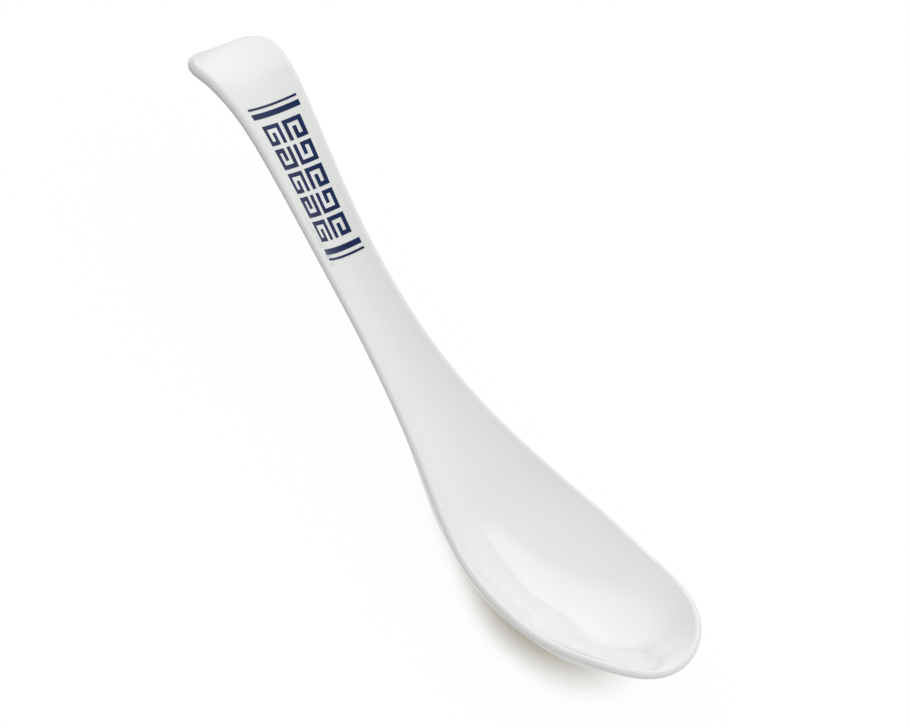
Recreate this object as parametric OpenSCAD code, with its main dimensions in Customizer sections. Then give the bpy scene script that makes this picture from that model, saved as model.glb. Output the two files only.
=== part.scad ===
// Long porcelain soup spoon with a hooked, flared handle and a printed band of key frets.
// The porcelain is one curved sheet. A row of cross-sections runs along the rim line from the
// tip of the bowl to the end of the handle, each square to that line.
// +X is the tip of the bowl, +Z is up, and the middle of the ground is the origin.

/* [Bowl] */
// Run of the rim line from the tip of the bowl to the end of the handle
rim_run = 177.2; // [150:0.2:200]
// Width of the bowl over its lips
bowl_w = 42.6; // [35:0.2:49]
// Depth of the middle of the porcelain below the rim at the deepest place
bowl_depth = 11.4; // [9:0.2:14]
// Slope of the rim at the tip of the bowl, in degrees
tip_slope = 12; // [8:1:20]
// Slope of the rim beside the bowl, in degrees
bowl_slope = -12; // [-15:1:-8]

/* [Handle] */
// Width of the handle at its narrowest, over its lips
neck_w = 15.1; // [12:0.1:18]
// Width of the flared end of the handle, over its lips
end_w = 24.1; // [18.1:0.2:28.1]
// Radius of the corners at the end of the handle
end_corner_r = 5.9; // [3:0.1:8]
// Slope of the handle at the neck, in degrees
neck_slope = 9; // [6:1:13]
// Steepest slope of the handle, below its hook, in degrees
handle_slope = 22; // [17:1:28]
// Slope at the very end of the hook, in degrees
hook_slope = -27; // [-40:1:-14]

/* [Porcelain] */
// Thickness at the lips of the bowl
lip_t = 1.9; // [1.6:0.1:2.6]
// Thickness at the lips where the end of the handle flares
end_lip_t = 2.9; // [2:0.1:3.6]
// Thickness of the floor where the bowl runs into the handle
floor_t = 6.2; // [5:0.1:7]
// Depth that is ground flat under the bowl
foot_cut = 2; // [1.4:0.1:2.3]

/* [Print] */
// Length of the field of key frets along the handle
field_run = 29; // [20:0.5:34]
// Rows of frets along the field
fret_rows = 5; // [3:1:6]
// Thickness of the printed film
film_t = 0.12; // [0.1:0.01:0.2]
// Clearance between the film and the porcelain
film_gap = 0.03; // [0.02:0.01:0.05]
// Width of the heavy line that borders the frets
band_w = 1.3; // [0.8:0.1:2]
// Width of the fine line beside it
fine_w = 0.5; // [0.3:0.1:0.8]

/* [Hidden] */

glaze_colour = [0.91, 0.93, 0.92];
cobalt_colour = [0.06, 0.11, 0.30];

// Cross-sections along the spoon, steps from the middle to a lip, and steps round a lip
rings = 84;
half_steps = 8;
lip_steps = 6;

// Share of the run at which the first and last sections stand, so that their width isn't zero
end_gap_share = 0.0002;

// Rise of the rim line in degrees, at shares of the run from the tip
rim_slope_shares = [
    [0, tip_slope], [0.06, bowl_slope + 0.4], [0.14, bowl_slope + 0.9], [0.24, neck_slope - 10.9],
    [0.34, neck_slope - 2.4], [0.44, neck_slope + 1], [0.54, neck_slope + 5],
    [0.66, handle_slope - 3.7], [0.78, handle_slope], [0.88, handle_slope - 3.8],
    [0.94, handle_slope - 19.7], [1, hook_slope]
];
// Share of the bowl's extra width over the neck
bowl_plan_shares = [
    [0, 1], [0.2, 1], [0.26, 0.93], [0.32, 0.735], [0.38, 0.51], [0.44, 0.305], [0.5, 0.157],
    [0.57, 0.045], [0.65, 0], [1, 0]
];
// Share of the end's extra width over the neck, and of the extra thickness of its lips
end_plan_shares = [
    [0, 0], [0.66, 0], [0.74, 0.06], [0.82, 0.23], [0.88, 0.43], [0.94, 0.76], [0.98, 0.95],
    [1, 1]
];
// Share of the run in which the tip of the bowl rounds to its full width
tip_round_share = 0.153;
// Depth of the trough as a share of bowl_depth
depth_shares = [
    [0, 0], [0.03, 0.33], [0.08, 0.65], [0.14, 0.79], [0.2, 0.95], [0.28, 1], [0.34, 0.99],
    [0.4, 0.73], [0.46, 0.51], [0.54, 0.34], [0.68, 0.225], [0.8, 0.15], [0.9, 0.115], [1, 0.06]
];
// Share of the floor's extra thickness over the lips
floor_shares = [
    [0, 0], [0.05, 0.35], [0.12, 0.8], [0.2, 1], [0.38, 1], [0.46, 0.6], [0.55, 0.2],
    [0.66, 0.06], [1, 0]
];

function row_of(table, x, i = 0) =
    (i >= len(table) - 2 || x < table[i + 1][0]) ? i : row_of(table, x, i + 1);

function slope_of(table, i) =
    let(a = max(i - 1, 0), b = min(i + 1, len(table) - 1))
    (table[b][1] - table[a][1]) / (table[b][0] - table[a][0]);

// Smooth curve through the rows of a table
function curve_at(table, x) =
    let(
        i = row_of(table, x),
        h = table[i + 1][0] - table[i][0],
        u = (x - table[i][0]) / h,
        rise = table[i + 1][1] - table[i][1],
        m0 = slope_of(table, i) * h,
        m1 = slope_of(table, i + 1) * h
    )
    table[i][1] + m0 * u + (3 * rise - 2 * m0 - m1) * u * u + (m0 + m1 - 2 * rise) * u * u * u;

function unit(v) = v / norm(v);
function mix(a, b, share) = a + (b - a) * share;

// Sections stand close together at both ends, where the outline turns quickly
function share_at(i) =
    min(max((1 - cos(180 * i / rings)) / 2, end_gap_share), 1 - end_gap_share);
shares = [for (i = [0:rings]) share_at(i)];

function mid_angle(i) = curve_at(rim_slope_shares, (shares[i] + shares[i + 1]) / 2);
function rim_step(i) =
    rim_run * (shares[i + 1] - shares[i]) * [-cos(mid_angle(i)), sin(mid_angle(i))];

// Side view of the rim line, as [x, z] for each section
rim_line = [
    for (i = 0, p = [0, 0]; i <= rings; p = p + (i < rings ? rim_step(i) : [0, 0]), i = i + 1) p
];

function lip_at(s) = lip_t + (end_lip_t - lip_t) * curve_at(end_plan_shares, s);
function thickness(s, across) =
    lip_at(s) + (floor_t - lip_t) * curve_at(floor_shares, s) * (1 - across * across);

// Distance from the middle of the spoon to the middle of a lip, before the corners are cut off
function uncut_half(s) =
    (neck_w - lip_at(s) + (bowl_w - neck_w) * curve_at(bowl_plan_shares, s)
    + (end_w - neck_w) * curve_at(end_plan_shares, s)) / 2 * tip_rounding(s);
function tip_rounding(s) =
    s >= tip_round_share ? 1 : sqrt(1 - pow(1 - s / tip_round_share, 2));
function corner_loss(s) =
    let(r = end_corner_r, left = (1 - s) * rim_run)
    left >= r ? 0 : r - sqrt(r * r - (r - left) * (r - left));
function half_width(s) = uncut_half(s) - corner_loss(s);

// Drop of the middle of the porcelain below the rim line, at a distance out: a trough with the
// section of a parabola
function depth_at(s) = bowl_depth * curve_at(depth_shares, s);
function drop_at(s, out) = depth_at(s) * (1 - pow(out / uncut_half(s), 2));

// How fast a size grows along the rim line: the size just after s less the size just before it
function per_run(growth) = growth / (2 * slope_share * rim_run);
function before(s) = s - slope_share;
function after(s) = s + slope_share;
slope_share = end_gap_share / 4;

// Steps across a section lie closer together towards the lips
last_step = 2 * half_steps;
function across_at(j) = sin(90 * (j / half_steps - 1));

// From directions along the rim line, across it and square to it, to x, y and z
function turned_to(s, v) =
    let(angle = curve_at(rim_slope_shares, s))
    [v[2] * sin(angle) - v[0] * cos(angle), v[1], v[2] * cos(angle) + v[0] * sin(angle)];

// At each step of a section: the middle of the porcelain, the direction out of it on its
// hollow side, and the direction out over the lip
function sheet_at(i, j) =
    let(
        s = shares[i],
        across = across_at(j),
        out = abs(across) * half_width(s),
        drop = drop_at(s, out),
        bend = per_run(curve_at(rim_slope_shares, after(s)) - curve_at(rim_slope_shares, before(s))),
        stretch = 1 + drop * bend * PI / 180,
        pitch = per_run(drop_at(before(s), out) - drop_at(after(s), out)),
        steep = 2 * depth_at(s) * out / pow(uncut_half(s), 2) * sign(across),
        hollow = unit([-pitch / stretch, -steep, 1]),
        side = across < 0 ? -1 : 1,
        widening = per_run(half_width(after(s)) - half_width(before(s))),
        edge = [stretch, side * widening, pitch + side * widening * steep],
        over = -side * unit(cross(edge, hollow))
    )
    [
        [rim_line[i][0], 0, rim_line[i][1]] + turned_to(s, [0, half_width(s) * across, -drop]),
        turned_to(s, hollow),
        turned_to(s, over)
    ];
sheet = [for (i = [0:rings]) [for (j = [0:last_step]) sheet_at(i, j)]];

function under_point(i, j) =
    sheet[i][j][0] - sheet[i][j][1] * thickness(shares[i], across_at(j)) / 2;
function upper_point(i, j) =
    sheet[i][j][0] + sheet[i][j][1] * thickness(shares[i], across_at(j)) / 2;

// A lip is half a round bar: turn goes from -90 on the underside to 90 on the hollow side
function lip_point(i, j, turn) =
    sheet[i][j][0]
    + lip_at(shares[i]) / 2 * (cos(turn) * sheet[i][j][2] + sin(turn) * sheet[i][j][1]);
lip_turns = [for (k = [1:lip_steps - 1]) 180 * k / lip_steps - 90];

// One section: underside, far lip, hollow side, near lip and back to the middle of the underside
function section(i) = concat(
    [for (j = [half_steps:last_step]) under_point(i, j)],
    [for (turn = lip_turns) lip_point(i, last_step, turn)],
    [for (j = [last_step:-1:0]) upper_point(i, j)],
    [for (turn = lip_turns) lip_point(i, 0, -turn)],
    [for (j = [0:half_steps - 1]) under_point(i, j)]
);
sections = [for (i = [0:rings]) section(i)];
section_points = len(sections[0]);

// Across the tip and across the end of the handle runs a lip as well, from side to side
function end_over(i, j) =
    (i == 0 ? 1 : -1) * unit(cross(sheet[i][j + 1][0] - sheet[i][j - 1][0], sheet[i][j][1]));
function end_lip(i) = [
    for (turn = lip_turns)
        for (j = [1:last_step - 1])
            sheet[i][j][0]
            + lip_at(shares[i]) / 2 * (cos(turn) * end_over(i, j) + sin(turn) * sheet[i][j][1])
];

// The spoon stands on its ground foot, with the middle of its length over the origin
loose_points = concat([for (ring = sections) each ring], end_lip(0), end_lip(rings));
all_x = [for (p = loose_points) p[0]];
keel_z = min([for (ring = sections) ring[0][2]]);
place = [-(min(all_x) + max(all_x)) / 2, 0, -keel_z - foot_cut];
body_points = [for (p = loose_points) p + place];

function ring_faces(i) = [
    for (k = [0:section_points - 1])
        let(
            a = i * section_points,
            b = a + section_points,
            next = (k + 1) % section_points
        )
        each [[a + k, a + next, b + next], [a + k, b + next, b + k]]
];
// Place in body_points of a step across an end lip: row 0 is the underside, the last row is the
// hollow side, and the rows between turn round the lip
function end_index(i, row, j) =
    let(
        upper = half_steps + lip_steps + last_step,
        under = upper + lip_steps,
        ring_index =
            row == 0 ? (j < half_steps ? under + j : j - half_steps)
            : row == lip_steps ? upper - j
            : j == 0 ? under - row
            : half_steps + row,
        first_lip = len(sections) * section_points,
        this_lip = first_lip + (i == 0 ? 0 : (lip_steps - 1) * (last_step - 1))
    )
    row == 0 || row == lip_steps || j == 0 || j == last_step
        ? i * section_points + ring_index
        : this_lip + (row - 1) * (last_step - 1) + j - 1;
function end_faces(i) = [
    for (row = [0:lip_steps - 1])
        for (j = [0:last_step - 1])
            let(
                a = end_index(i, row, j),
                b = end_index(i, row, j + 1),
                c = end_index(i, row + 1, j + 1),
                d = end_index(i, row + 1, j)
            )
            each (i == 0 ? [[a, c, b], [a, d, c]] : [[a, b, c], [a, c, d]])
];
body_faces = concat([for (i = [0:rings - 1]) each ring_faces(i)], end_faces(0), end_faces(rings));

body_size = max(all_x) - min(all_x);

module spoon_body() {
    color(glaze_colour)
        difference() {
            polyhedron(points = body_points, faces = body_faces, convexity = 6);
            translate([-body_size, -body_size, -body_size])
                cube([2 * body_size, 2 * body_size, body_size]);
        }
}

// Place on the hollow side, at a share of the run and a share of the half width, lifted off it
function face_point(s, across, lift) =
    let(
        i = min(floor(rings * acos(1 - 2 * s) / 180), rings - 1),
        u = (s - shares[i]) / (shares[i + 1] - shares[i]),
        step = half_steps * (1 + asin(across) / 90),
        j = min(floor(step), last_step - 1),
        v = step - j,
        near = mix(upper_point(i, j), upper_point(i + 1, j), u),
        far = mix(upper_point(i, j + 1), upper_point(i + 1, j + 1), u)
    )
    mix(near, far, v) + place + lift * sheet[i][j][1];

// The print lies on a grid. One step of it is the width of a line of the frets, and the frets
// keep a space of gap_steps from the middle line of the handle, from the borders and each other
gap_steps = 1;
fret_steps = 4;
row_steps = fret_steps + 2 * gap_steps;
field_steps = 2 * row_steps + 1;
field_start_share = 0.71;
field_edge_share = 0.84;
step_run = field_run / (row_steps * fret_rows);
border_space = 2 * gap_steps * step_run;

// Half of a key fret: the line winds into its middle
fret_path = [
    [0, 0], [0, fret_steps], [fret_steps, fret_steps], [fret_steps, 0],
    [fret_steps / 2, 0], [fret_steps / 2, fret_steps / 2]
];

function densify(path) = concat(
    [
        for (k = [0:len(path) - 2])
            let(steps = max(1, ceil(norm(path[k + 1] - path[k]))))
            for (m = [0:steps - 1])
                mix(path[k], path[k + 1], m / steps)
    ],
    [path[len(path) - 1]]
);
function left_of(v) = [-v[1], v[0]] / norm(v);
// Sideways direction at a point of a path, mitred where the path turns
function side_dir(path, k) =
    let(
        before = left_of(path[max(k, 1)] - path[max(k, 1) - 1]),
        last = len(path) - 1,
        after = left_of(path[min(k + 1, last)] - path[min(k, last - 1)])
    )
    (before + after) / (1 + before * after);

// A point of the print from grid steps across and a run in millimetres along the handle
function print_point(across_steps, run, lift) =
    face_point(
        field_start_share + run / rim_run,
        field_edge_share * across_steps / (field_steps / 2),
        lift
    );

// A flat line of film, one step wide, that follows a path over the hollow side
module film_line(path, run_scale) {
    count = len(path);
    edges = [
        for (k = [0:count - 1])
            for (side = [-1, 1])
                path[k] + side / 2 * side_dir(path, k)
    ];
    points = [
        for (lift = [film_gap, film_gap + film_t])
            for (e = edges)
                print_point(e[0], e[1] * run_scale, lift)
    ];
    top = 2 * count;
    strips = [
        for (k = [0:count - 2])
            let(a = 2 * k, b = a + 1, c = a + 3, d = a + 2)
            each [
                [a, c, b], [a, d, c],
                [top + a, top + b, top + c], [top + a, top + c, top + d],
                [b, top + c, top + b], [b, c, top + c],
                [a, top + d, d], [a, top + a, top + d]
            ]
    ];
    ends = [
        [0, top + 1, top], [0, 1, top + 1],
        [top - 1, 2 * top - 2, 2 * top - 1], [top - 1, top - 2, 2 * top - 2]
    ];
    polyhedron(points = points, faces = concat(strips, ends), convexity = 4);
}

// A fret beside the middle line of the handle; every second row is turned over
module fret(row, side) {
    turned = row % 2 == 1;
    path = [
        for (p = densify(fret_path))
            let(run = turned ? fret_steps - p[1] : p[1])
            [side * (gap_steps + p[0]), row * row_steps + gap_steps + run]
    ];
    film_line(path, step_run);
}

module fret_print() {
    color(cobalt_colour)
        for (row = [0:fret_rows - 1])
            for (side = [-1, 1])
                fret(row, side);
}

// A line straight across the handle, at a run along the field
module cross_line(run, line_w) {
    half_line = (field_steps - 1) / 2;
    path = [for (k = [-half_line:half_line]) [k, run / line_w]];
    film_line(path, line_w);
}

module lower_band_print() {
    color(cobalt_colour) {
        cross_line(-border_space, band_w);
        cross_line(-border_space - band_w - fine_w, fine_w);
    }
}

module upper_band_print() {
    color(cobalt_colour) {
        cross_line(field_run + border_space, band_w);
        cross_line(field_run + border_space + band_w + fine_w, fine_w);
    }
}

spoon_body();
fret_print();
lower_band_print();
upper_band_print();
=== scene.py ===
import math

import bmesh
import bpy
from mathutils import Matrix, Vector


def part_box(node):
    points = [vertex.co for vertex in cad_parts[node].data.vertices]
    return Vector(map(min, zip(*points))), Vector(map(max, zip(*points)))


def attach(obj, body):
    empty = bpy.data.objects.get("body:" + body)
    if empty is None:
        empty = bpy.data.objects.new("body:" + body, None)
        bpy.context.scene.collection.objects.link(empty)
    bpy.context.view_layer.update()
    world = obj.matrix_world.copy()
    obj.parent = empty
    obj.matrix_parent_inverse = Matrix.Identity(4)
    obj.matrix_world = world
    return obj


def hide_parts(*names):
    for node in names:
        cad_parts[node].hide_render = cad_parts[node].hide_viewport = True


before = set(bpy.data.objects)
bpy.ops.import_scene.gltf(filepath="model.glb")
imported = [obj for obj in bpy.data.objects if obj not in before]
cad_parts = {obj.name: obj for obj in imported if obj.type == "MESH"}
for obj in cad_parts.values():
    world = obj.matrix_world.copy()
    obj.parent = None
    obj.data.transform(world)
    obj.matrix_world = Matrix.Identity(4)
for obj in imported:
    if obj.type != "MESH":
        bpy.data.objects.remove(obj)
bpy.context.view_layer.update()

# Camera. The spoon is seen from its right, over the side of the bowl, through a long lens.
# The photograph has it tipped up on its bowl; here it lies at rest, so the camera leans instead.
# Blender takes the lens and the film in millimetres.
camera_turn = math.radians(56.52)
camera_rise = math.radians(42.62)
camera_lean = math.radians(24.92)
camera_distance = 2.666
lens_length, film_width = 492.9, 36
throat_spot = Vector((0.020, 0, 0.015))
middle_left, middle_up = 0.00494, 0.02139
towards_camera = Vector((
    math.cos(camera_turn) * math.cos(camera_rise),
    -math.sin(camera_turn) * math.cos(camera_rise),
    math.sin(camera_rise),
))
level_right = Vector((0, 0, 1)).cross(towards_camera).normalized()
level_up = towards_camera.cross(level_right)
picture_right = level_right * math.cos(camera_lean) + level_up * math.sin(camera_lean)
picture_up = level_up * math.cos(camera_lean) - level_right * math.sin(camera_lean)
picture_middle = throat_spot - picture_right * middle_left + picture_up * middle_up

camera = bpy.data.objects.new("camera", bpy.data.cameras.new("camera"))
bpy.context.scene.collection.objects.link(camera)
camera.data.lens = lens_length
camera.data.sensor_width = film_width
camera.data.clip_end = 20
camera_place = Matrix((picture_right, picture_up, towards_camera)).transposed().to_4x4()
camera_place.translation = picture_middle + towards_camera * camera_distance
camera.matrix_world = camera_place
bpy.context.scene.camera = camera

# Porcelain body: one sheet of slip-cast porcelain, hollow on its upper side, dipped in clear
# glaze but for the foot, which is ground flat. It is built as the solid is: sections stand
# square to the rim line, from the tip of the bowl to the end of the handle.
rim_run = 0.1771
bowl_width = 0.0425
bowl_depth = 0.0114
neck_width = 0.0151
end_width = 0.0241
end_corner = 0.0059
lip_thickness = 0.0019
end_lip_thickness = 0.0029
floor_thickness = 0.0062
foot_rounding = 0.0006
stations = 220
steps_across = 48
steps_round_lip = 10
weld_gap = 3e-7
tip_guard, end_guard = 1e-12, 1e-9
tip_round_share = 0.153
tip_slope, bowl_slope, neck_slope, handle_slope, hook_slope = 12, -12, 9, 22, -27
rim_slope_shares = [
    (0, tip_slope), (0.06, bowl_slope + 0.4), (0.14, bowl_slope + 0.9),
    (0.24, neck_slope - 10.9), (0.34, neck_slope - 2.4), (0.44, neck_slope + 1),
    (0.54, neck_slope + 5), (0.66, handle_slope - 3.7), (0.78, handle_slope),
    (0.88, handle_slope - 3.8), (0.94, handle_slope - 19.7), (1, hook_slope),
]
bowl_plan_shares = [
    (0, 1), (0.2, 1), (0.26, 0.93), (0.32, 0.735), (0.38, 0.51), (0.44, 0.305),
    (0.5, 0.157), (0.57, 0.045), (0.65, 0), (1, 0),
]
end_plan_shares = [
    (0, 0), (0.66, 0), (0.74, 0.06), (0.82, 0.23), (0.88, 0.43), (0.94, 0.76), (0.98, 0.95),
    (1, 1),
]
depth_shares = [
    (0, 0), (0.03, 0.33), (0.08, 0.65), (0.14, 0.79), (0.2, 0.95), (0.28, 1), (0.34, 0.99),
    (0.4, 0.73), (0.46, 0.51), (0.54, 0.34), (0.68, 0.225), (0.8, 0.15), (0.9, 0.115),
    (1, 0.06),
]
floor_shares = [
    (0, 0), (0.05, 0.35), (0.12, 0.8), (0.2, 1), (0.38, 1), (0.46, 0.6), (0.55, 0.2),
    (0.66, 0.06), (1, 0),
]


def curve_at(shares, x):
    """Smooth curve through the rows of a table of shares."""
    i = max(k for k in range(len(shares) - 1) if k == 0 or x >= shares[k][0])

    def slope(k):
        before, after = shares[max(k - 1, 0)], shares[min(k + 1, len(shares) - 1)]
        return (after[1] - before[1]) / (after[0] - before[0])

    run = shares[i + 1][0] - shares[i][0]
    rise = shares[i + 1][1] - shares[i][1]
    u = (x - shares[i][0]) / run
    start, end = slope(i) * run, slope(i + 1) * run
    return (shares[i][1] + start * u
            + (3 * rise - 2 * start - end) * u**2 + (start + end - 2 * rise) * u**3)


def slope_of(shares, x):
    """How fast that curve rises at a share, for the whole run."""
    nearby = 1e-5
    before, after = max(x - nearby, 0), min(x + nearby, 1)
    return (curve_at(shares, after) - curve_at(shares, before)) / (after - before)


def station(place):
    """The sizes of the section at a share of the run. The guards stop a division by nothing
    at the round tip and at the corners of the end."""
    share = max(place, tip_guard)
    bowl_share, end_share = curve_at(bowl_plan_shares, share), curve_at(end_plan_shares, share)
    lip = lip_thickness + (end_lip_thickness - lip_thickness) * end_share
    half_width = (neck_width - lip + (bowl_width - neck_width) * bowl_share
                  + (end_width - neck_width) * end_share) / 2
    flare = end_width - neck_width - (end_lip_thickness - lip_thickness)
    widening = ((bowl_width - neck_width) * slope_of(bowl_plan_shares, share)
                + flare * slope_of(end_plan_shares, share)) / 2 / half_width
    if share < tip_round_share:
        short = 1 - share / tip_round_share
        rounding = math.sqrt(1 - short**2)
        widening += short / tip_round_share / rounding**2
        half_width *= rounding
    outline = half_width * widening / rim_run
    loss = 0
    inset = end_corner - max((1 - share) * rim_run, end_guard)
    if inset > 0:
        corner_height = math.sqrt(end_corner**2 - inset**2)
        loss = end_corner - corner_height
        outline -= inset / corner_height
    depth = bowl_depth * curve_at(depth_shares, share)
    return {
        "slope": math.radians(curve_at(rim_slope_shares, share)),
        "bend": math.radians(slope_of(rim_slope_shares, share)) / rim_run,
        "half_width": half_width - loss,
        "uncut": (half_width - loss) / half_width,
        "depth": depth,
        "deepening": bowl_depth * slope_of(depth_shares, share) / rim_run,
        "swell": depth * 2 * widening / rim_run,
        "wall": depth * 2 / half_width,
        "lip": lip,
        "outline": math.atan(outline) if 0 < place < 1 else math.copysign(math.pi / 2, 0.5 - place),
        "floor": (floor_thickness - lip_thickness) * curve_at(floor_shares, share),
    }


station_shares = [(1 - math.cos(math.pi * i / stations)) / 2 for i in range(stations + 1)]
rim_line = [Vector((0, 0, 0))]
for start, end in zip(station_shares, station_shares[1:]):
    slope = math.radians(curve_at(rim_slope_shares, (start + end) / 2))
    ahead = Vector((-math.cos(slope), 0, math.sin(slope)))
    rim_line.append(rim_line[-1] + rim_run * (end - start) * ahead)
sections = [station(share) for share in station_shares]
rim_top = max(
    point.z + section["lip"] / 2 * math.cos(section["slope"]) for point, section in zip(rim_line, sections))
cad_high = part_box("spoon_body")[1]
rim_start = Vector((cad_high.x - lip_thickness / 2, 0, cad_high.z - rim_top))
rim_mesh = bpy.data.meshes.new("porcelain_body")
rim_points = [point + rim_start for point in rim_line]
rim_mesh.from_pydata(rim_points, [(i, i + 1) for i in range(stations)], [])
for name in sections[0]:
    carried = rim_mesh.attributes.new(name, "FLOAT", "POINT")
    carried.data.foreach_set("value", [section[name] for section in sections])
porcelain_body = bpy.data.objects.new("porcelain_body", rim_mesh)
bpy.context.scene.collection.objects.link(porcelain_body)


def new_tree(name, sizes):
    """A node tree with a geometry in and out and named inputs."""
    tree = bpy.data.node_groups.new(name, "GeometryNodeTree")
    tree.interface.new_socket("Geometry", in_out="INPUT", socket_type="NodeSocketGeometry")
    tree.interface.new_socket("Geometry", in_out="OUTPUT", socket_type="NodeSocketGeometry")
    for size, kind in sizes.items():
        tree.interface.new_socket(size, in_out="INPUT", socket_type="NodeSocket" + kind)
    return tree, tree.nodes.new("NodeGroupInput").outputs, tree.nodes.new("NodeGroupOutput").inputs


def add(tree, kind, inputs=None, **settings):
    """A node with its inputs joined or set, by name or by number."""
    node = tree.nodes.new(kind)
    for setting, value in settings.items():
        setattr(node, setting, value)
    for key, value in (inputs or {}).items():
        socket = node.inputs[key]
        if isinstance(value, Measure):
            value = value.socket
        if isinstance(value, bpy.types.NodeSocket):
            tree.links.new(value, socket)
        else:
            socket.default_value = value
    return node.outputs


class Measure:
    """A number that a node tree works out, so that a sum on it reads as a sum."""

    def __init__(self, tree, socket):
        self.tree, self.socket = tree, socket

    def through(self, operation, *others):
        """What a Math node makes of this number and any others."""
        inputs = dict(enumerate((self, *others)))
        return Measure(self.tree, add(self.tree, "ShaderNodeMath", inputs, operation=operation)[0])

    def __add__(self, other):
        return self.through("ADD", other)

    def __sub__(self, other):
        return self.through("SUBTRACT", other)

    def __rsub__(self, other):
        return self.through("MULTIPLY_ADD", -1, other)

    def __mul__(self, other):
        return self.through("MULTIPLY", other)

    def __truediv__(self, other):
        return self.through("DIVIDE", other)

    __radd__, __rmul__ = __add__, __mul__

    def sine(self):
        return self.through("SINE")

    def cosine(self):
        return self.through("COSINE")

    def within(self, low, high):
        return self.through("MAXIMUM", low).through("MINIMUM", high)


def parts_of(tree, vector):
    """The three measures of a place or direction."""
    return [Measure(tree, part) for part in add(tree, "ShaderNodeSeparateXYZ", {0: vector})]


def joined(tree, x, y, z):
    """A place or direction of three measures."""
    return add(tree, "ShaderNodeCombineXYZ", {0: x, 1: y, 2: z})[0]


def position(tree):
    """The place of each point."""
    return add(tree, "GeometryNodeInputPosition")[0]


def together(tree, *parts):
    """Several geometries as one."""
    whole = add(tree, "GeometryNodeJoinGeometry")[0]
    for part in parts:
        tree.links.new(part, whole.node.inputs[0])
    return whole


def settle(piece, tree, values):
    """The piece's node tree at these sizes, made into its plain mesh."""
    modifier = piece.modifiers.new(tree.name, "NODES")
    modifier.node_group = tree
    for item in tree.interface.items_tree:
        if item.in_out == "INPUT" and item.name in values:
            modifier[item.identifier] = values[item.name]
    bpy.context.view_layer.update()
    evaluated = piece.evaluated_get(bpy.context.evaluated_depsgraph_get())
    made = bpy.data.meshes.new_from_object(evaluated)
    piece.modifiers.remove(modifier)
    piece.data = made
    made.name = piece.name


sheet_tree, size, sheet_out = new_tree("porcelain_sheet", {
    "Steps Across": "Int", "Lip Steps": "Int", "Foot Rounding": "Float", "Glaze": "Material",
})
rim = size["Geometry"]
steps, lip_steps = (Measure(sheet_tree, size[name]) for name in ("Steps Across", "Lip Steps"))
point_count = add(sheet_tree, "GeometryNodeAttributeDomainSize", {"Geometry": rim})["Point Count"]
last = Measure(sheet_tree, point_count) - 1


def grid_of(rows, columns):
    """A grid, and the row and column of each of its points."""
    grid = add(sheet_tree, "GeometryNodeMeshGrid", {
        "Size X": rows, "Size Y": columns, "Vertices X": rows + 1, "Vertices Y": columns + 1})[0]
    x, y, _ = parts_of(sheet_tree, position(sheet_tree))
    return grid, (x + rows * 0.5).through("ROUND"), (y + columns * 0.5).through("ROUND")


def at_row(value, row, kind="FLOAT"):
    """What the rim line has at a row."""
    return add(sheet_tree, "GeometryNodeSampleIndex", {
        "Geometry": rim, "Value": value, "Index": row}, data_type=kind, domain="POINT")[0]


def at_station(name, row):
    """A size of the section at a row."""
    carried = add(sheet_tree, "GeometryNodeInputNamedAttribute", {"Name": name}, data_type="FLOAT")[0]
    return Measure(sheet_tree, at_row(carried, row))


def skin(row, column, turn, side, outline):
    """A point of the skin. It is worked out beside the rim line: along it, across it and up
    from it. Turn goes from the underside, round a lip, to the hollow side."""
    across = (column * math.pi / steps - math.pi / 2).sine()
    from_middle = across * at_station("uncut", row)
    rise = from_middle * from_middle
    drop = at_station("depth", row) * (1 - rise)
    stretch = 1 + drop * at_station("bend", row)
    pitch = (0 - at_station("deepening", row)) * (1 - rise) - at_station("swell", row) * rise
    steep = at_station("wall", row) * from_middle
    normal = add(sheet_tree, "ShaderNodeVectorMath", {
        0: joined(sheet_tree, (0 - pitch) / stretch, 0 - steep, 1)}, operation="NORMALIZE")[0]
    ahead, aside = outline.cosine(), side * outline.sine()
    edge = joined(sheet_tree, ahead * stretch, aside, ahead * pitch + aside * steep)
    square = add(sheet_tree, "ShaderNodeVectorMath", {0: edge, 1: normal}, operation="CROSS_PRODUCT")[0]
    square = add(sheet_tree, "ShaderNodeVectorMath", {0: square}, operation="NORMALIZE")[0]
    radius = (at_station("floor", row) * (1 - across * across) + at_station("lip", row)) * 0.5
    up, out = radius * turn.sine(), 0 - radius * turn.cosine() * side
    along, aside, above = (
        up * n + out * s for n, s in zip(parts_of(sheet_tree, normal), parts_of(sheet_tree, square)))
    aside = aside + at_station("half_width", row) * across
    above = above - drop
    slope = at_station("slope", row)
    rim_x, _, rim_z = parts_of(sheet_tree, at_row(position(sheet_tree), row, "FLOAT_VECTOR"))
    x = rim_x - along * slope.cosine() + above * slope.sine()
    z = rim_z + along * slope.sine() + above * slope.cosine()
    # The foot is ground flat, with its edge rounded by the glaze
    return joined(sheet_tree, x, aside, z.through("SMOOTH_MAX", 0.0, size["Foot Rounding"]))


def grow(grid, place):
    """A grid with its points moved to their places."""
    return add(sheet_tree, "GeometryNodeSetPosition", {"Geometry": grid, "Position": place})[0]


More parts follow.
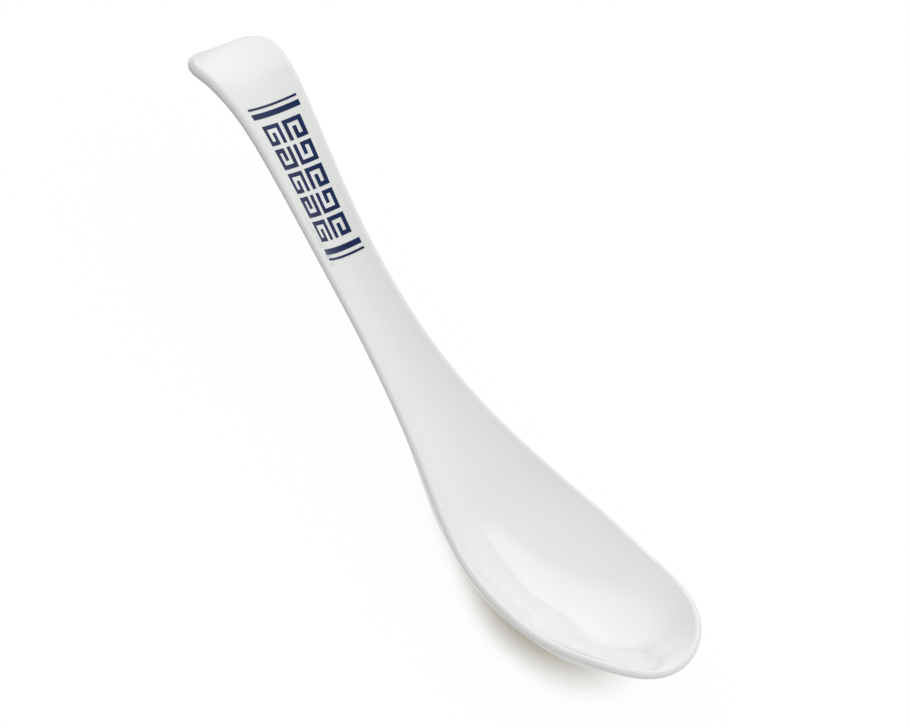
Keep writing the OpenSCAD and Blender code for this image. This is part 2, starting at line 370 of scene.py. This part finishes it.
# The skin goes from the near lip along the underside, round the far lip and back
around = steps * 2 + lip_steps * 2
back = steps + lip_steps
grid, row, way = grid_of(last, around)
column = way.within(0, steps) - (way - back).within(0, steps)
lips = (way - steps).within(0, lip_steps) - (way - back - steps).within(0, lip_steps)
turn = lips * math.pi / lip_steps - math.pi / 2
side = (column * 2 - steps).through("SIGN")
mapped = add(sheet_tree, "GeometryNodeStoreNamedAttribute", {
    "Geometry": grid, "Name": "porcelain_way", "Value": joined(sheet_tree, row / last, way / around, 0.0),
}, data_type="FLOAT2", domain="CORNER")[0]
# How much of the glaze's second colour each point takes: most in the deep of the hollow, none on the
# underside and the lips. Part of it is real, the greener tint of glaze pooled in the hollow. Part of it is
# painted light and shade: that colour is lighter, so the hollow is painted lighter and the underside and
# lips are painted darker.
hollow = at_station("depth", row) / bowl_depth * (column * math.pi / steps).sine()
tint_and_light_stored = add(sheet_tree, "GeometryNodeStoreNamedAttribute", {
    "Geometry": mapped, "Name": "glaze_pool", "Value": hollow * turn.through("GREATER_THAN", 0),
}, data_type="FLOAT", domain="POINT")[0]
walls = grow(tint_and_light_stored, skin(row, column, turn, side, at_station("outline", row)))

# The end of the handle is a half-round lip from corner to corner
cap, row, column = grid_of(lip_steps, steps)
turn = row * math.pi / lip_steps - math.pi / 2
end_lip = grow(cap, skin(last, column, turn, turn * 0 + 1, turn * 0 - math.pi / 2))

welded = add(sheet_tree, "GeometryNodeMergeByDistance", {
    "Geometry": together(sheet_tree, end_lip, walls), "Distance": weld_gap})[0]
smooth = add(sheet_tree, "GeometryNodeSetShadeSmooth", {"Geometry": welded, "Shade Smooth": True})[0]
real = add(sheet_tree, "GeometryNodeRealizeInstances", {"Geometry": smooth})[0]
glazed = add(sheet_tree, "GeometryNodeSetMaterial", {"Geometry": real, "Material": size["Glaze"]})[0]
sheet_tree.links.new(glazed, sheet_out[0])


def new_finish(name):
    """A material, its tree, its shader and its object coordinates."""
    finish = bpy.data.materials.new(name)
    finish.use_nodes = True
    tree = finish.node_tree
    return finish, tree, tree.nodes["Principled BSDF"], add(tree, "ShaderNodeTexCoord")["Object"]


def noise(tree, place, scale, detail):
    """Cloudy noise, of so many clouds to the metre."""
    return add(tree, "ShaderNodeTexNoise", {"Vector": place, "Scale": scale, "Detail": detail})[0]


def bumps(tree, height, depth, **inputs):
    """A surface that stands up by a depth where the height is 1."""
    return add(tree, "ShaderNodeBump", {"Strength": 1, "Distance": depth, "Height": height, **inputs})[0]


def blend_colours(tree, share, low, high):
    """The colour between two, at a share."""
    return add(tree, "ShaderNodeMix", {"Factor": share, "A": low, "B": high}, data_type="RGBA")[2]


def under_glaze(tree, shader, place, colour, roughness):
    """A colour under clear glaze. The glaze is faintly uneven, as it is when fired."""
    tree.links.new(colour, shader.inputs["Base Color"])
    shader.inputs["Roughness"].default_value = roughness
    shader.inputs["Specular IOR Level"].default_value = 0
    shader.inputs["Coat Weight"].default_value = 1
    shader.inputs["Coat IOR"].default_value = 1.55
    shader.inputs["Coat Roughness"].default_value = 0.05
    wide = bumps(tree, noise(tree, place, scale=120, detail=1), depth=0.00006)
    fine = bumps(tree, noise(tree, place, scale=900, detail=2), depth=0.000002, Normal=wide)
    tree.links.new(fine, shader.inputs["Normal"])
    tree.links.new(fine, shader.inputs["Coat Normal"])


glaze, tree, shader, place = new_finish("clear_glaze_on_porcelain")
pool_and_light_share = add(tree, "ShaderNodeAttribute", attribute_name="glaze_pool")["Fac"]
clouds = noise(tree, place, scale=55, detail=3)
# Thin glaze on the underside and lips, and pooled glaze in the hollow. Besides the pool's greener tint, the
# hollow's colour is painted lighter and the underside's colour is painted darker, as painted light and
# painted shade.
thin_glaze_painted_shade = blend_colours(tree, clouds, (0.77, 0.788, 0.768, 1), (0.795, 0.813, 0.793, 1))
pooled_glaze_painted_light = blend_colours(tree, clouds, (0.835, 0.862, 0.843, 1), (0.865, 0.884, 0.868, 1))
under_glaze(tree, shader, place, blend_colours(tree, pool_and_light_share, thin_glaze_painted_shade, pooled_glaze_painted_light), roughness=0.4)
settle(porcelain_body, sheet_tree, {
    "Steps Across": steps_across, "Lip Steps": steps_round_lip, "Foot Rounding": foot_rounding,
    "Glaze": glaze,
})

# Foot: bare clay, left without glaze and ground flat, so that the spoon stands on it. The mesh
# is cut along the foot's edge, and the flat inside it takes its own finish.
foot_edge = 0.00004
cut_slack, level_slack = 1e-7, 1e-6
bare_clay, tree, shader, place = new_finish("bare_clay_foot")
grit = noise(tree, place, scale=2500, detail=3)
clay_colour = blend_colours(tree, grit, (0.70, 0.68, 0.64, 1), (0.82, 0.81, 0.78, 1))
tree.links.new(clay_colour, shader.inputs["Base Color"])
tree.links.new(bumps(tree, grit, depth=0.00001), shader.inputs["Normal"])
shader.inputs["Roughness"].default_value = 0.85
porcelain_body.data.materials.append(bare_clay)
shell = bmesh.new()
shell.from_mesh(porcelain_body.data)
bmesh.ops.bisect_plane(
    shell, geom=shell.verts[:] + shell.edges[:] + shell.faces[:],
    plane_co=(0, 0, foot_edge), plane_no=(0, 0, 1), dist=cut_slack)
for face in shell.faces:
    if all(v.co.z < foot_edge + level_slack for v in face.verts):
        face.material_index = 1
shell.to_mesh(porcelain_body.data)
shell.free()
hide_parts("spoon_body")
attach(porcelain_body, "root")

# Printed frets: a cobalt transfer under the glaze of the handle, five rows of mirrored key
# frets beside the middle line, every second row turned over. It is laid out flat on a grid,
# one step of it the width of a line, and then laid on the hollow of the handle.
field_run = 0.029
fret_rows = 5
gap_steps = 1
fret_steps = 4
row_steps = fret_steps + 2 * gap_steps
field_steps = 2 * row_steps + 1
field_start_share = 0.71
field_edge_share = 0.84
step_run = field_run / (row_steps * fret_rows)
film_gap = 0.00003
film_thickness = 0.00008
film_inputs = {
    "Porcelain": "Object", "Step Run": "Float", "Film Gap": "Float", "Film Thickness": "Float",
    "Pigment": "Material",
}
weld_steps = 0.001
line_points = 4

on_handle, size, film_out = new_tree("lay_on_handle", film_inputs)
flat = add(on_handle, "GeometryNodeMergeByDistance", {
    "Geometry": size["Geometry"], "Distance": weld_steps})[0]
raised = add(on_handle, "GeometryNodeExtrudeMesh", {
    "Mesh": flat, "Offset": Vector((0, 0, 1)), "Offset Scale": 1.0, "Individual": False}, mode="FACES")[0]
underside = add(on_handle, "GeometryNodeFlipFaces", {"Mesh": flat})[0]
closed = add(on_handle, "GeometryNodeMergeByDistance", {
    "Geometry": together(on_handle, underside, raised), "Distance": weld_steps})[0]

# Each point finds the row and column of the porcelain below it, as the skin counts them
x, y, z = parts_of(on_handle, position(on_handle))
share = y * size["Step Run"] / rim_run + field_start_share
row_way = (1 - share * 2).through("ARCCOSINE") / math.pi
across = x * (2 * field_edge_share / field_steps)
column = (across.through("ARCSINE") / math.pi + 0.5) * steps_across
whole_way = 2 * steps_across + 2 * steps_round_lip
spot = joined(on_handle, row_way, (whole_way - steps_round_lip - column) / whole_way, 0.0)
porcelain = add(on_handle, "GeometryNodeObjectInfo", {"Object": size["Porcelain"]})["Geometry"]
way_map = add(on_handle, "GeometryNodeInputNamedAttribute", {
    "Name": "porcelain_way"}, data_type="FLOAT_VECTOR")[0]


def on_porcelain(value):
    """What the porcelain has below each point of the print."""
    found = add(on_handle, "GeometryNodeSampleUVSurface", {
        "Mesh": porcelain, "Value": value, "Source UV Map": way_map, "Sample UV": spot,
    }, data_type="FLOAT_VECTOR")[0]
    return parts_of(on_handle, found)


lift = z * size["Film Thickness"] + size["Film Gap"]
ground = on_porcelain(position(on_handle))
upwards = on_porcelain(add(on_handle, "GeometryNodeInputNormal")[0])
seat = joined(on_handle, *(p + n * lift for p, n in zip(ground, upwards)))
laid = add(on_handle, "GeometryNodeSetPosition", {"Geometry": closed, "Position": seat})[0]
inked = add(on_handle, "GeometryNodeSetMaterial", {"Geometry": laid, "Material": size["Pigment"]})[0]
on_handle.links.new(inked, film_out[0])


def lay_on_handle(tree, size, flat_print, out):
    """The end of a print's tree: its flat print laid on the handle."""
    inputs = {"Geometry": flat_print, **{name: size[name] for name in film_inputs}}
    tree.links.new(add(tree, "GeometryNodeGroup", inputs, node_tree=on_handle)[0], out[0])


def repeated(tree, seats, shape, **inputs):
    """A shape at each of a row of seats, as real faces."""
    copies = add(tree, "GeometryNodeInstanceOnPoints", {"Points": seats, "Instance": shape, **inputs})[0]
    return add(tree, "GeometryNodeRealizeInstances", {"Geometry": copies})[0]


cobalt, tree, shader, place = new_finish("cobalt_under_glaze")
grain = noise(tree, place, scale=260, detail=4)
pigment = blend_colours(tree, grain, (0.002, 0.009, 0.045, 1), (0.005, 0.022, 0.115, 1))
under_glaze(tree, shader, place, pigment, roughness=0.45)

fret_tree, size, fret_out = new_tree("fret_field", {
    "Rows": "Int", "Fret Steps": "Float", "Gap Steps": "Float", **film_inputs})
cell = add(fret_tree, "GeometryNodeMeshGrid", {
    "Size X": 1, "Size Y": 1, "Vertices X": line_points, "Vertices Y": line_points})[0]
fret = add(fret_tree, "GeometryNodeMergeByDistance", {
    "Geometry": repeated(fret_tree, size["Geometry"], cell), "Distance": weld_steps})[0]
index, rows, fret_size, gap = (Measure(fret_tree, socket) for socket in (
    add(fret_tree, "GeometryNodeInputIndex")[0], size["Rows"], size["Fret Steps"], size["Gap Steps"]))
row = (index / 2).through("FLOOR")
side = index.through("MODULO", 2) * 2 - 1
turned = row.through("MODULO", 2)
corner = joined(fret_tree, side * gap, row * (fret_size + gap * 2) + gap + turned * fret_size, 0.0)
seats = add(fret_tree, "GeometryNodePoints", {"Count": rows * 2, "Position": corner})[0]
field = repeated(fret_tree, seats, fret, Scale=joined(fret_tree, side, 1 - turned * 2, 1.0))
lay_on_handle(fret_tree, size, field, fret_out)


def print_piece(name, points, tree, values, node):
    """A printed piece, grown from its points: laid on the handle, its faces turned outwards."""
    piece = bpy.data.objects.new(name, bpy.data.meshes.new(name))
    piece.data.from_pydata(points, [], [])
    bpy.context.scene.collection.objects.link(piece)
    settle(piece, tree, {
        "Porcelain": porcelain_body, "Step Run": step_run, "Film Gap": film_gap,
        "Film Thickness": film_thickness, "Pigment": cobalt, **values,
    })
    film = bmesh.new()
    film.from_mesh(piece.data)
    bmesh.ops.recalc_face_normals(film, faces=film.faces)
    film.to_mesh(piece.data)
    film.free()
    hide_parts(node)
    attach(piece, "root")


# The squares of one fret: up beside the middle line, out, down, back in and up to its end
half = fret_steps // 2
line = [(0, k) for k in range(fret_steps + 1)] + [(k, fret_steps) for k in range(1, fret_steps + 1)]
line += [(fret_steps, k) for k in range(fret_steps)] + [(k, 0) for k in range(half, fret_steps)]
line += [(half, k) for k in range(1, half + 1)]
print_piece("printed_frets", [(x, y, 0) for x, y in line], fret_tree, {
    "Rows": fret_rows, "Fret Steps": float(fret_steps), "Gap Steps": float(gap_steps)}, "fret_print")

# Printed border lines: a heavy and a fine cobalt line across the handle at each end of the
# frets, part of the same transfer.
heavy_line, fine_line = 0.0013, 0.0005
border_space = 2 * gap_steps * step_run
strip_points = 40
line_tree, size, line_out = new_tree("border_lines", {"Steps Across": "Float", **film_inputs})
strip = add(line_tree, "GeometryNodeMeshGrid", {
    "Size X": size["Steps Across"], "Size Y": 1, "Vertices X": strip_points, "Vertices Y": line_points,
})[0]
run, line_width, _ = parts_of(line_tree, position(line_tree))
widths = add(line_tree, "GeometryNodeStoreNamedAttribute", {
    "Geometry": size["Geometry"], "Name": "line_width", "Value": line_width,
}, data_type="FLOAT", domain="POINT")[0]
seats = add(line_tree, "GeometryNodeSetPosition", {
    "Geometry": widths, "Position": joined(line_tree, 0.0, run, 0.0)})[0]
wide = add(line_tree, "GeometryNodeInputNamedAttribute", {"Name": "line_width"}, data_type="FLOAT")[0]
lines = repeated(line_tree, seats, strip, Scale=joined(line_tree, 1.0, wide, 1.0))
lay_on_handle(line_tree, size, lines, line_out)
for name, edge, away in (("lower", 0, -1), ("upper", field_run, 1)):
    heavy = edge + away * border_space
    fine = heavy + away * (heavy_line + fine_line)
    points = [(run / step_run, width / step_run, 0) for run, width in (
        (heavy, heavy_line), (fine, fine_line))]
    print_piece(f"printed_{name}_border", points, line_tree, {
        "Steps Across": float(field_steps)}, f"{name}_band_print")

# Floor: white paper. The camera and the mirroring glaze see it as white, but for the soft shadow
# under the spoon, which is strongest towards the tip. The light that it sheds on the spoon is
# dimmer, and fades towards the handle's end and in the shadow.
floor_reach, floor_drop = 3, 0.00002
shadow_reach = 0.03
shadow_colour = (0.39, 0.365, 0.30, 1)
shadow_core, shadow_rim = 0.12, 0.42
throat_x, wide_bowl_x = 0.025, 0.055
lighter_at_throat, darker_at_tip = 0.11, 0.025
glow_share = 0.96
handle_x, bowl_x = -0.08, 0.06
handle_glow, bowl_glow = 0.05, 0.5


def ramp(tree, value, low, high, start=0.0, end=1.0, kind="SMOOTHSTEP"):
    """From start to end, as a value goes from low to high."""
    return Measure(tree, add(tree, "ShaderNodeMapRange", {
        "Value": value, "From Min": low, "From Max": high, "To Min": start, "To Max": end,
    }, interpolation_type=kind)[0])


floor = bpy.data.objects.new("floor", bpy.data.meshes.new("floor"))
floor_corners = [
    (x * floor_reach, y * floor_reach, -floor_drop) for x, y in ((-1, -1), (1, -1), (1, 1), (-1, 1))]
floor.data.from_pydata(floor_corners, [], [(0, 1, 2, 3)])
bpy.context.scene.collection.objects.link(floor)
paper = bpy.data.materials.new("white_paper")
paper.use_nodes = True
tree = paper.node_tree
x, _, _ = parts_of(tree, add(tree, "ShaderNodeTexCoord")["Object"])
towards_tip = ramp(tree, x, throat_x, wide_bowl_x, -lighter_at_throat, darker_at_tip)
open_sky = Measure(tree, add(tree, "ShaderNodeAmbientOcclusion", {
    "Distance": shadow_reach}, samples=24)["AO"])
lit = ramp(tree, open_sky - towards_tip, shadow_core, shadow_rim)
shaded = add(tree, "ShaderNodeEmission", {
    "Color": blend_colours(tree, lit, shadow_colour, (1, 1, 1, 1)), "Strength": 1.0})[0]
matt = add(tree, "ShaderNodeBsdfDiffuse", {"Color": (1, 0.99, 0.97, 1)})[0]
paled = add(tree, "ShaderNodeMixShader", {0: glow_share, 1: matt, 2: shaded})[0]
shed = ramp(tree, x, handle_x, bowl_x, handle_glow, bowl_glow, "LINEAR") * lit
bounce = add(tree, "ShaderNodeEmission", {"Color": (1, 1, 1, 1), "Strength": shed})[0]
path = add(tree, "ShaderNodeLightPath")
seen = Measure(tree, path["Is Camera Ray"]) + path["Is Glossy Ray"] + path["Is Transmission Ray"]
sheet = add(tree, "ShaderNodeMixShader", {0: seen, 1: bounce, 2: paled})[0]
tree.links.new(sheet, tree.nodes["Material Output"].inputs["Surface"])
floor.data.materials.append(paper)

# Light: a white tent all round. It is brightest overhead, towards the far side and the handle,
# and dim low down on the near side, where the camera stands. The camera sees it plain white.
overhead, over_handle = Vector((-0.1, 0.4, 0.85)), Vector((-0.6, 0.35, 0.7))
far_side, beyond_handle = Vector((0, 1, 0.1)), Vector((-0.66, 0.48, 0.58))
world = bpy.data.worlds.new("studio")
bpy.context.scene.world = world
world.use_nodes = True
tree = world.node_tree
towards = add(tree, "ShaderNodeTexCoord")["Generated"]


def tent_part(direction, low, high, dim, bright):
    """How bright the tent is: from dim to bright, the more nearly one looks in a direction."""
    facing = add(tree, "ShaderNodeVectorMath", {
        0: towards, 1: direction.normalized()}, operation="DOT_PRODUCT")["Value"]
    return ramp(tree, facing, low, high, dim, bright)


tent = tent_part(overhead, low=-0.6, high=0.45, dim=0.42, bright=1.05)
tent = tent + tent_part(over_handle, low=0.6, high=0.95, dim=0.0, bright=0.04)
# What the glaze mirrors: a dimmer tent, with one soft bright place high beyond the handle
gleam = tent_part(far_side, low=0.2, high=0.9, dim=0.25, bright=0.6)
gleam = gleam + tent_part(beyond_handle, low=0.8, high=0.98, dim=0.0, bright=1.3)
path = add(tree, "ShaderNodeLightPath")
mirrored = Measure(tree, path["Is Glossy Ray"])
seen = Measure(tree, path["Is Camera Ray"]) + path["Is Transmission Ray"]
glow = tent + (gleam - tent) * mirrored
glow = glow + (1 - glow) * seen
background = add(tree, "ShaderNodeBackground", {"Color": (1, 1, 1, 1), "Strength": glow})[0]
tree.links.new(background, tree.nodes["World Output"].inputs["Surface"])

bpy.context.scene.view_settings.view_transform = "Standard"
